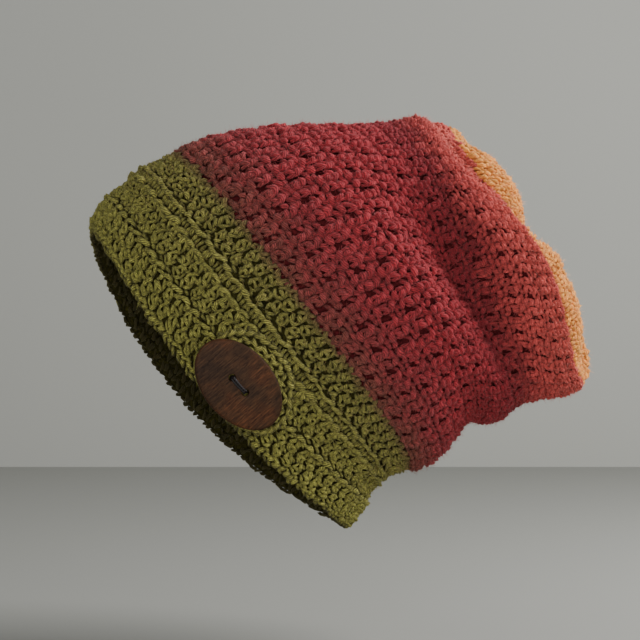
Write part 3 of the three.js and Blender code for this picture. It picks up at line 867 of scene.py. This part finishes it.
# Two rosettes and the looser strands round them: x, y, angle, length, width, top and bow.
BODY_STRANDS = (
    (-0.6, 3.3, -13, 6.6, 3.1, 2.4, 1.2),
    (1.3, 1.0, -75, 5.2, 2.8, 2.1, 0.8),
    (-0.5, -2.4, 167, 6.8, 3.1, 2.3, 1.0),
    (-2.3, 0.2, 80, 5.2, 2.8, 1.9, 0.8),
    (-0.4, 0.4, 35, 4.2, 2.8, 3.0, 0.5),
    (8.4, 2.7, -20, 6.8, 3.1, 2.3, 1.0),
    (8.9, -3.3, 165, 6.2, 3.0, 2.2, 1.0),
    (7.6, 0.3, 75, 4.9, 2.7, 1.8, 0.6),
    (10.1, -0.2, -80, 5.0, 2.8, 1.9, 0.6),
    (8.9, -0.2, -40, 4.2, 2.8, 2.9, 0.4),
    (-5.6, 5.2, 10, 6.6, 2.9, 1.1, 0.6),
    (-1.6, 5.7, -18, 6.2, 2.9, 1.3, -0.5),
    (2.4, 5.4, 22, 6.2, 2.8, 1.0, 0.5),
    (6.2, 5.6, -8, 6.2, 2.9, 1.2, -0.5),
    (4.6, 2.6, 22, 4.9, 2.6, 0.9, 0.4),
    (4.2, -3.8, -13, 5.2, 2.6, 0.8, 0.4),
    (-4.6, 2.8, 58, 4.8, 2.7, 0.9, 0.3),
    (-4.4, -2.5, -54, 4.9, 2.7, 0.9, 0.3),
    (-5.4, -4.4, 12, 5.2, 2.7, 0.8, 0.4),
    (0.8, -4.8, 70, 4.6, 2.6, 0.7, 0.3),
)

# Variegated wool: brown-red at the seam, deep red, and coral towards the fold. The valley rows are painted
# # darker, a painted shade for the shadow in the valley. The coral by the fold is partly the yarn's own
# colour
# # and partly a painted highlight on the lit ridge there. The groove colours are painted shade.
body_yarn = yarn_material("body_red_wool_yarn", 70, 222, (
    (0.0, "#935743", "#341912"), (0.04, "#9d5147", "#3c1916"), (0.15, "#b23e43", "#491619"),
    (0.3, "#b8333b", "#5c191e"), (0.5, "#b02e37", "#621b20"), (0.62, "#94252e", "#52161b"),
    (0.76, "#ea625c", "#8c302f"), (1.0, "#ea665a", "#963833")), sheen="#e29a98")
# Painted shade: a dark red for the shade at the bottom of the holes.
body_recess_shade = felted_material("body_felted_recess", "#340e10", "#642124")
# Red hairs, palest at the fold, painted paler than the yarn as a painted highlight: a soft pink fringe on its
# edge.
body_hair = fibre_material("body_loose_fibres", 70, 222,
                           [(0.0, "#8f5a46"), (0.2, "#b54a50"), (0.7, "#b84c50"), (0.95, "#e8887a")])

body_wall = wall_object("body_wall", BAND_WIDTH, BAND_WIDTH + BODY_LENGTH, body_recess_shade, sink=1.3)
body_versions = hand_worked("body_stitch", BODY_STRANDS, seed=23)
body_rows = round((BODY_LENGTH - BODY_FROM_SEAM) / BODY_ROW_HEIGHT)
row_step = (BODY_LENGTH - BODY_FROM_SEAM) / body_rows
body_places = []
for row in range(body_rows):
    body_places += row_of_places(BODY_STITCHES, BAND_WIDTH + BODY_FROM_SEAM + (row + 0.5) * row_step,
                                 BODY_STITCH_WIDTH, lean=row * BODY_LEAN, tall=row_step / BODY_ROW_HEIGHT)
half_way = len(body_places) // 2
body_lower, body_upper = (
    crochet("body_stitches_by_" + end, body_versions, places, body_yarn, wander=2.6, seed=7)
    for end, places in (("band", body_places[:half_way]), ("fold", body_places[half_way:])))
lower_fuzz = fuzz("body_fuzz_by_band", body_lower, body_hair, density=150000.0, seed=33)
upper_fuzz = fuzz("body_fuzz_by_fold", body_upper, body_hair, density=160000.0, seed=34)

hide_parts("body")
declare((body_wall, body_lower, body_upper, lower_fuzz, upper_fuzz))

# Crown
# The gathered orange end that closes the hat, crocheted in small dense stitches. Its rows get shorter towards
# the middle, where they are drawn in.
CROWN_STITCH_WIDTH = 6.6
CROWN_ROW_HEIGHT = 3.7
# At the top the red rows reach this far over the fold, in millimetres, and less to either side, in degrees.
RED_OVER_FOLD = 15
RED_SPREAD = 34
CROWN_WALL_LENGTH = 93.6
CROWN_SINK = 1.0
CROWN_TIP_RISE = 6.0
# The rows end this far before the middle, and none has fewer stitches than this.
DRAWN_IN = 12.5
FEWEST_STITCHES = 12
CROWN_STRANDS = (
    (-1.9, 0.2, 58, 4.6, 2.5, 1.7, 0.5),
    (0.2, -0.4, -38, 4.4, 2.4, 0.6, -0.4),
    (1.8, 0.6, 74, 4.6, 2.5, 1.6, 0.5),
    (3.6, -0.6, -20, 4.2, 2.4, 0.3, 0.3),
)

# Yellow-orange wool with painted shade in its burnt-orange grooves and low places, redder in the row by the
# fold.
crown_yarn = yarn_material("crown_orange_wool_yarn", 218, 330, (
    (0.0, "#f08c52", "#c05024"), (0.03, "#fcbc5e", "#d46824"), (1.0, "#fcc066", "#d66c28")),
    sheen="#f6d4a6", blend=4.0)
# Painted shade: a burnt orange for the shade between the small stitches.
crown_recess_shade = felted_material("crown_felted_recess", "#8e4218", "#cc7c38")
# Pale orange hairs.
crown_hair = fibre_material("crown_loose_fibres", 218, 330, [(0.0, "#f0a878"), (1.0, "#f6c890")])

crown_start = BAND_WIDTH + BODY_LENGTH
middle, _, way = section_frame(float(FOLD_LIP))
outer_tip = middle + way * CROWN_TIP_RISE
crown_wall = wall_object("crown_wall", crown_start, crown_start + CROWN_WALL_LENGTH, crown_recess_shade,
                         sink=CROWN_SINK, tips=(outer_tip, outer_tip - way * (WALL - CROWN_SINK)))
crown_versions = hand_worked("crown_stitch", CROWN_STRANDS, seed=24, dip=2.2)
crown_places = []
red_places = []
crown_rows = round(CROWN_LENGTH / CROWN_ROW_HEIGHT)
for row in range(crown_rows):
    y = crown_start + (row + 0.5) * CROWN_LENGTH / crown_rows
    ring = closed_rings[int(round(np.interp(y, chart_y, np.arange(len(chart_y)))))]
    length = np.linalg.norm(np.roll(ring, -1, axis=0) - ring, axis=1).sum()
    count = max(FEWEST_STITCHES, round(length / CROWN_STITCH_WIDTH))
    for place in row_of_places(count, y, CROWN_STITCH_WIDTH, start=0.5 + 0.5 * (row % 2)):
        over_fold = RED_OVER_FOLD * bump(turn_apart(place[0] / CHART_ROUND * 360, 0), RED_SPREAD)
        if y < crown_start + over_fold:
            red_places.append(place)
        elif y < crown_start + CROWN_LENGTH - DRAWN_IN:
            crown_places.append(place)
red_stitches, crown_stitches = (
    crochet(name, crown_versions, places, yarn, size=0.12, wander=4.0, wander_scale=180.0, seed=seed)
    for name, places, yarn, seed in (("crown_red_stitches", red_places, body_yarn, 12),
                                     ("crown_stitches", crown_places, crown_yarn, 11)))
crown_fuzz = fuzz("crown_fuzz", crown_stitches, crown_hair, density=100000.0, seed=35)

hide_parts("crown")
declare((crown_wall, crown_stitches, crown_fuzz))
declare((red_stitches,))

# Button tab
# A small oval pad crocheted in rounds from the band's green yarn. It lies on the band behind the button and
# is sewn down with it.
TAB_HALF_LENGTH = 30.0
TAB_HALF_WIDTH = 23.0
TAB_CLEARANCE = 2.3
TAB_THICKNESS = 3.6
TAB_EDGE = 2.4
TAB_WALL_SINK = 1.0
TAB_FORM_SINK = 0.4
TAB_FROM_RIM = 23.0
TAB_ALONG = 5.0
# How far its chart runs each way from its middle, and in what steps.
TAB_CHART_ALONG = (36, 3.0)
TAB_CHART_INWARD = (28, 3.5)
# Rings of the pad as shares of its oval, on the back and then on the front.
TAB_BACK_RINGS = (0.2, 0.6, 0.93, 0.99)
TAB_FRONT_RINGS = (0.99, 0.93, 0.75, 0.5, 0.2)
BUTTON_TURN = 91.0
BUTTON_FROM_RIM = 17.5

button_section = sections_from_rim([BUTTON_FROM_RIM], np.array([BUTTON_TURN]))[0, 0]
around_button = plain_surface(button_section, np.array([BUTTON_TURN - 1, BUTTON_TURN, BUTTON_TURN + 1]))
turn_per_mm = 2 / np.linalg.norm(around_button[2] - around_button[0])


def tab_surface(along, inward, height):
    """Points above the band, from lengths along the band and inwards from the middle of the tab."""
    turns = BUTTON_TURN + (TAB_ALONG + along) * turn_per_mm
    sections = np.array([sections_from_rim([TAB_FROM_RIM + deep], np.array([turn]))[0, 0]
                         for deep, turn in zip(inward.ravel(), turns.ravel())]).reshape(turns.shape)
    directions = outward(plain_surface, sections, turns)
    return plain_surface(sections, turns) + directions * height[..., None], directions


def tab_height(share):
    """The height of the tab's front above the band, thinner towards its edge."""
    return TAB_CLEARANCE + TAB_THICKNESS + (TAB_EDGE - TAB_THICKNESS) * np.clip(share, 0, 1.1) ** 4


chart_along, chart_inward = np.meshgrid(
    *(np.arange(-reach, reach + 1, step) for reach, step in (TAB_CHART_ALONG, TAB_CHART_INWARD)))
tab_share = np.hypot(chart_along / TAB_HALF_LENGTH, chart_inward / TAB_HALF_WIDTH)
tab_points, tab_normals = tab_surface(chart_along, chart_inward, tab_height(tab_share) - TAB_FORM_SINK)
tab_form = chart_form("tab_form", tab_points, tab_normals, np.stack([chart_along, chart_inward], axis=-1))

# The band's olive-green wool again, in one even tone, with the same painted shade in its grooves.
tab_yarn = yarn_material("tab_green_wool_yarn", -40, 400, (
    (0.0, "#b0aa56", "#302911"), (1.0, "#b0aa56", "#302911")), sheen="#c8c788")
directions_round = np.radians(np.arange(0, 360, 7.5))
tab_loops = []
for share, low in (*((share, True) for share in TAB_BACK_RINGS),
                   *((share, False) for share in TAB_FRONT_RINGS)):
    heights = np.full_like(directions_round, TAB_CLEARANCE if low else tab_height(share) - TAB_WALL_SINK)
    loop, _ = tab_surface(TAB_HALF_LENGTH * share * np.cos(directions_round),
                          TAB_HALF_WIDTH * share * np.sin(directions_round), heights)
    tab_loops.append(loop)
tab_back, tab_front = (tab_surface(np.zeros(1), np.zeros(1), np.array([height]))[0][0]
                       for height in (TAB_CLEARANCE, TAB_CLEARANCE + TAB_THICKNESS - TAB_WALL_SINK))
# The pad itself wears the band's painted recess shade, seen between the stitches of its rounds.
button_tab = shell_object("crocheted_button_tab", tab_loops, band_recess_shade,
                          tips=((len(tab_loops) - 1, tab_front, True), (0, tab_back, False)))

# Each round: its distance in from the edge, the size of one stitch and its strands.
TAB_ROUNDS = {
    "edge": (1.3, 5.0, ((0.0, 0.0, 14, 7.0, 2.8, 0.5, 0.3), (0.6, -1.6, -30, 4.6, 2.2, -0.6, 0.3))),
    "outer across": (5.0, 6.4, ((-1.6, 0.5, 28, 5.6, 2.6, 0.7, 0.6), (1.5, -0.5, 148, 5.4, 2.6, 0.5, -0.6))),
    "outer along": (8.6, 5.0, ((0.0, 0.0, -16, 6.2, 2.6, 0.8, 0.6),)),
    "inner across": (12.2, 3.2, ((0.0, 0.0, 100, 5.6, 2.5, 0.5, -0.3),)),
    "inner along": (16.0, 5.0, ((0.0, 0.0, 12, 6.2, 2.6, 0.6, 0.4),)),
    "middle": (20.0, 3.6, ((0.0, 0.0, 80, 5.0, 2.5, 0.5, 0.3),)),
}
tab_rounds = []
for number, (inset, stitch_width, strands) in enumerate(TAB_ROUNDS.values()):
    versions = hand_worked("tab_stitch_" + str(number + 1), strands, seed=40 + number, ring_steps=FINE_STEPS)
    long_half = TAB_HALF_LENGTH - inset
    wide_half = TAB_HALF_WIDTH - inset
    fine = np.linspace(0, 2 * math.pi, 361)
    lengths = lengths_along(np.column_stack([long_half * np.cos(fine), wide_half * np.sin(fine)]))
    count = max(5, round(lengths[-1] / stitch_width))
    places = []
    for angle in np.interp(np.arange(count) / count * lengths[-1], lengths, fine):
        heading = math.degrees(math.atan2(wide_half * math.cos(angle), -long_half * math.sin(angle)))
        places.append((long_half * math.cos(angle), wide_half * math.sin(angle), 0.0,
                       lengths[-1] / count / stitch_width, 1.0, heading))
    tab_rounds.append(crochet("tab_round_" + str(number + 1), versions, places, tab_yarn, form=tab_form,
                              size=0.08, turn=10.0, wander=3.5, seed=50 + number))

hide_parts("button_tab")
declare((button_tab, *tab_rounds))

# Button
# A flat oval walnut button, 60 by 40 mm and 4.8 mm thick, with rounded edges and two holes. It is sanded
# smooth and oiled to a satin finish, with the grain along its short side.
BUTTON_HALF_LENGTH = 30.0
BUTTON_HALF_WIDTH = 20.0
BUTTON_EDGE_HEIGHT = 4.0
BUTTON_DOME = 0.8
BUTTON_LIFT = 6.2
HOLE_MIDDLES = (-5.7, 5.7)
HOLE_RADIUS = 2.0
HOLE_MARGIN = 1.2
# The rounded edge: how far in from the oval, and how high. The holes: how much wider, and how far down.
BUTTON_EDGE = ((1.3, 0.0), (0.5, 0.25), (0.1, 0.8), (0.0, 1.6), (0.0, 2.5), (0.12, 3.2), (0.5, 3.75),
               (1.1, 3.98))
HOLE_EDGE = ((0.5, 0.0), (0.18, -0.12), (0.0, -0.45))
# Ovals of points on the front and the back, by how far in they lie.
INNER_OVALS = (1.7, 2.8, 5.0, 8.0, 11.0, 14.5, 18.0)

button_out = outward(plain_surface, np.array(button_section), np.array(BUTTON_TURN))
button_along = around_button[2] - around_button[0]
button_along = unit(button_along - button_out * (button_along @ button_out))
button_basis = np.stack([button_along, np.cross(button_out, button_along), button_out])
button_place = around_button[1] + button_out * BUTTON_LIFT


def on_button(points):
    """Points in the button's own axes, moved to its place on the hat."""
    return (button_place + np.asarray(points) @ button_basis) * MM


def ellipse(middle, half_length, half_width, height, count):
    turns = np.arange(count) / count * 2 * math.pi
    return np.column_stack([middle + half_length * np.cos(turns), half_width * np.sin(turns),
                            np.full(count, height)])


def oval(inset, height, count=96):
    """A loop round the button, some way in from its outline."""
    return ellipse(0.0, BUTTON_HALF_LENGTH - inset, BUTTON_HALF_WIDTH - inset, height, count)


def hole_loop(middle, wider, height):
    """A loop round a hole, a little wider than the hole."""
    return ellipse(middle, HOLE_RADIUS + wider, HOLE_RADIUS + wider, height, 24)


def off_holes(x, y, margin):
    return all(math.hypot(x - middle, y) > HOLE_RADIUS + margin for middle in HOLE_MIDDLES)


def button_top(x, y):
    """The height of the domed front."""
    share = np.clip(np.hypot(x / BUTTON_HALF_LENGTH, y / BUTTON_HALF_WIDTH), 0, 1)
    return BUTTON_EDGE_HEIGHT + BUTTON_DOME * (1 - share ** 2)


outline = oval(BUTTON_EDGE[-1][0], 0.0)
hole_loops = [hole_loop(middle, HOLE_EDGE[0][0], 0.0) for middle in HOLE_MIDDLES]
inner_points = [point for inset in INNER_OVALS for point in oval(inset, 0.0, 48)
                if off_holes(*point[:2], HOLE_MARGIN)]
flat_points = [Vector(point[:2]) for point in (*outline, *hole_loops[0], *hole_loops[1], *inner_points)]
kept_edges = []
for loop in (outline, *hole_loops):
    numbers = list(range(len(kept_edges), len(kept_edges) + len(loop)))
    kept_edges += zip(numbers, numbers[1:] + numbers[:1])
flat, _, triangles, sources, _, _ = delaunay_2d_cdt(flat_points, kept_edges, [], 0, 1e-6)
new_place = {source: made for made, given_points in enumerate(sources) for source in given_points}
flat = np.array([tuple(point) for point in flat])
triangles = [triangle for triangle in triangles
             if off_holes(flat[list(triangle), 0].mean(), flat[list(triangle), 1].mean(), HOLE_EDGE[0][0])]
button_points = [*np.column_stack([flat, button_top(flat[:, 0], flat[:, 1])]),
                 *np.column_stack([flat, np.zeros(len(flat))])]
button_faces = [tuple(triangle) for triangle in triangles]
button_faces += [tuple(len(flat) + corner for corner in reversed(triangle)) for triangle in triangles]


def added_loop(points):
    button_points.extend(points)
    return list(range(len(button_points) - len(points), len(button_points)))


def join_loops(loops):
    for lower, upper in zip(loops, loops[1:]):
        button_faces.extend(faces_between(lower, upper))


outline_places = [new_place[step] for step in range(len(outline))]
join_loops([[len(flat) + step for step in outline_places],
            *(added_loop(oval(inset, height)) for inset, height in BUTTON_EDGE[1:-1]), outline_places])
for number, middle in enumerate(HOLE_MIDDLES):
    first = len(outline) + number * len(hole_loops[0])
    hole_places = [new_place[first + step] for step in range(len(hole_loops[0]))]
    top_height = float(button_top(middle, 0.0))
    levels = [(wider, top_height + deep) for wider, deep in HOLE_EDGE[1:]]
    levels += [(wider, -deep) for wider, deep in reversed(HOLE_EDGE[1:])]
    join_loops([hole_places, *(added_loop(hole_loop(middle, wider, height)) for wider, height in levels),
                [len(flat) + step for step in hole_places]])

# Walnut: fine streaks along the grain, soft reddish clouds and short dark pores under a satin oil.
walnut, tree = new_material("oiled_walnut")
grain = add_node(tree, "ShaderNodeAttribute", attribute_name="grain").outputs["Vector"]
streaks = noise_node(tree, vector_maths(tree, "MULTIPLY", grain, (1.5, 0.12, 1.5)), scale=1.0, detail=5.0,
                     roughness=0.6, distortion=0.3)
clouds = noise_node(tree, grain, scale=0.07, detail=2.0)
pores = noise_node(tree, vector_maths(tree, "MULTIPLY", grain, (1.5, 0.5, 1.5)), scale=1.0, detail=3.0,
                   roughness=0.7)
streak_colour = ramp_node(tree, streaks, [(0.3, "#37281d"), (0.5, "#503b2a"), (0.7, "#71533b")])
cloud_colour = ramp_node(tree, clouds, [(0.38, "#84705a"), (0.52, "#ac9476"), (0.66, "#d09f74")])
clouded = add_node(tree, "ShaderNodeMix", {"Factor": 0.8, "A": streak_colour, "B": cloud_colour},
                   data_type="RGBA", blend_type="MULTIPLY")
pore_depth = range_node(tree, pores, 0.32, 0.46, to_low=0.35)
pored = add_node(tree, "ShaderNodeHueSaturation", {"Value": pore_depth, "Color": clouded})
relief = maths(tree, "MULTIPLY_ADD", streaks, 0.5, pore_depth)
surfaced(walnut, {"Base Color": pored, "Roughness": 0.58, "Specular IOR Level": 0.12,
                  "Normal": bump_node(tree, relief, 0.0003, strength=0.35)})

button = mesh_object("walnut_button", on_button(button_points), button_faces, walnut)
add_attribute(button, "grain", "FLOAT_VECTOR", button_points)

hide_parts("button")
declare((button,))

# Button thread
# Two strands of dark waxed thread that sew the button on. Each is twisted from two plies, comes up through
# one hole, crosses the front and goes down through the other.
THREAD_RADIUS = 0.76
THREAD_APART = 1.25
THREAD_WANDER = 0.25
THREAD_WAVES = 1.7
THREAD_PITCH = 3.0
# The share of its radius between the plies.
THREAD_WAIST = 0.72
THREAD_STEPS = 72
THREAD_SIDES = 12
# Its path over the button: along it, and the height.
THREAD_PATH = ((-5.7, -0.6), (-5.7, 2.6), (-5.3, 4.5), (-3.9, 5.3), (0.0, 5.5),
               (3.9, 5.3), (5.3, 4.5), (5.7, 2.6), (5.7, -0.6))

# Waxed thread, faintly glossy, with painted shade and highlight: nearly black between the plies, where
# # shade falls, and painted a lighter grey on their ridges as a painted highlight.
thread_wax, tree = new_material("dark_waxed_thread")
wax_shade_and_highlight = ramp_node(tree, attribute_value(tree, "ridge"),
                       [(0.2, "#080606"), (0.75, "#1a1415"), (1.0, "#382c2e")])
surfaced(thread_wax, {"Base Color": wax_shade_and_highlight, "Roughness": 0.55, "Specular IOR Level": 0.3})

steps = np.linspace(0, len(THREAD_PATH) - 1, THREAD_STEPS)
along, height = (between_rows(column, steps) for column in zip(*THREAD_PATH))
thread_points = []
thread_faces = []
thread_ridges = []
for side in (-1, 1):
    wander = THREAD_WANDER * np.sin(steps * THREAD_WAVES + side)
    path = np.column_stack([along, side * THREAD_APART / 2 * (1 - wander), height])
    loops = (len(thread_points) + np.arange(THREAD_STEPS * THREAD_SIDES)).reshape(THREAD_STEPS, -1).tolist()
    around = 2 * math.pi * np.arange(THREAD_SIDES) / THREAD_SIDES
    twist = 2 * math.pi * lengths_along(path)[:, None] / THREAD_PITCH * side
    plies = 0.5 + 0.5 * np.cos(2 * (around - twist))
    reach = THREAD_RADIUS * (THREAD_WAIST + (1 - THREAD_WAIST) * plies)
    thread_points += [*tube_rings(path, (0.0, 1.0, 0.0), reach).reshape(-1, 3)]
    thread_ridges += [*plies.ravel()]
    for lower, upper in zip(loops, loops[1:]):
        thread_faces += faces_between(lower, upper)
    thread_faces += [loops[0][::-1], loops[-1]]
thread = mesh_object("button_sewing_thread", on_button(thread_points), thread_faces, thread_wax)
add_attribute(thread, "ridge", "FLOAT", thread_ridges)

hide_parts("button_thread")
declare((thread,))

# The guides have done their work.
for guide in (hat_form, tab_form, loose_fibre, *stitch_guides):
    bpy.data.objects.remove(guide)
